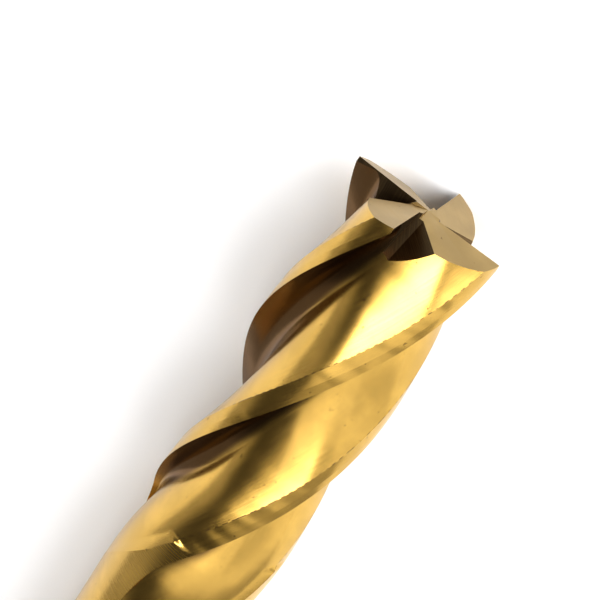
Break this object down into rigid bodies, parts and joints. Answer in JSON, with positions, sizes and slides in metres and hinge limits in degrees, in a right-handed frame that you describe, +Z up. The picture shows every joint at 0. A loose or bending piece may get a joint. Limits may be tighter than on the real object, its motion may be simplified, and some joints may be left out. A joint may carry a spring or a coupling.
{
  "type": "end mill",
  "caption": "Square end mill with helical flutes, ground end teeth and a straight shank with a drive flat, gold coated, lying on its side.",
  "frame": {"origin": "on the surface that the tool lies on, under the middle of its length", "axes": "+X along the tool's axis towards the cutting tip, +Z up"},
  "size_m": [0.0825, 0.0126, 0.0127],
  "materials": {
    "coated_cutter_steel": "gold titanium nitride over ground high-speed steel",
    "coated_shank_steel": "gold titanium nitride over cylindrically ground alloy steel"
  },
  "bodies": {
    "root": {"fluted_cutter_head": "coated_cutter_steel", "shank": "coated_shank_steel"}
  },
  "joints": []
}
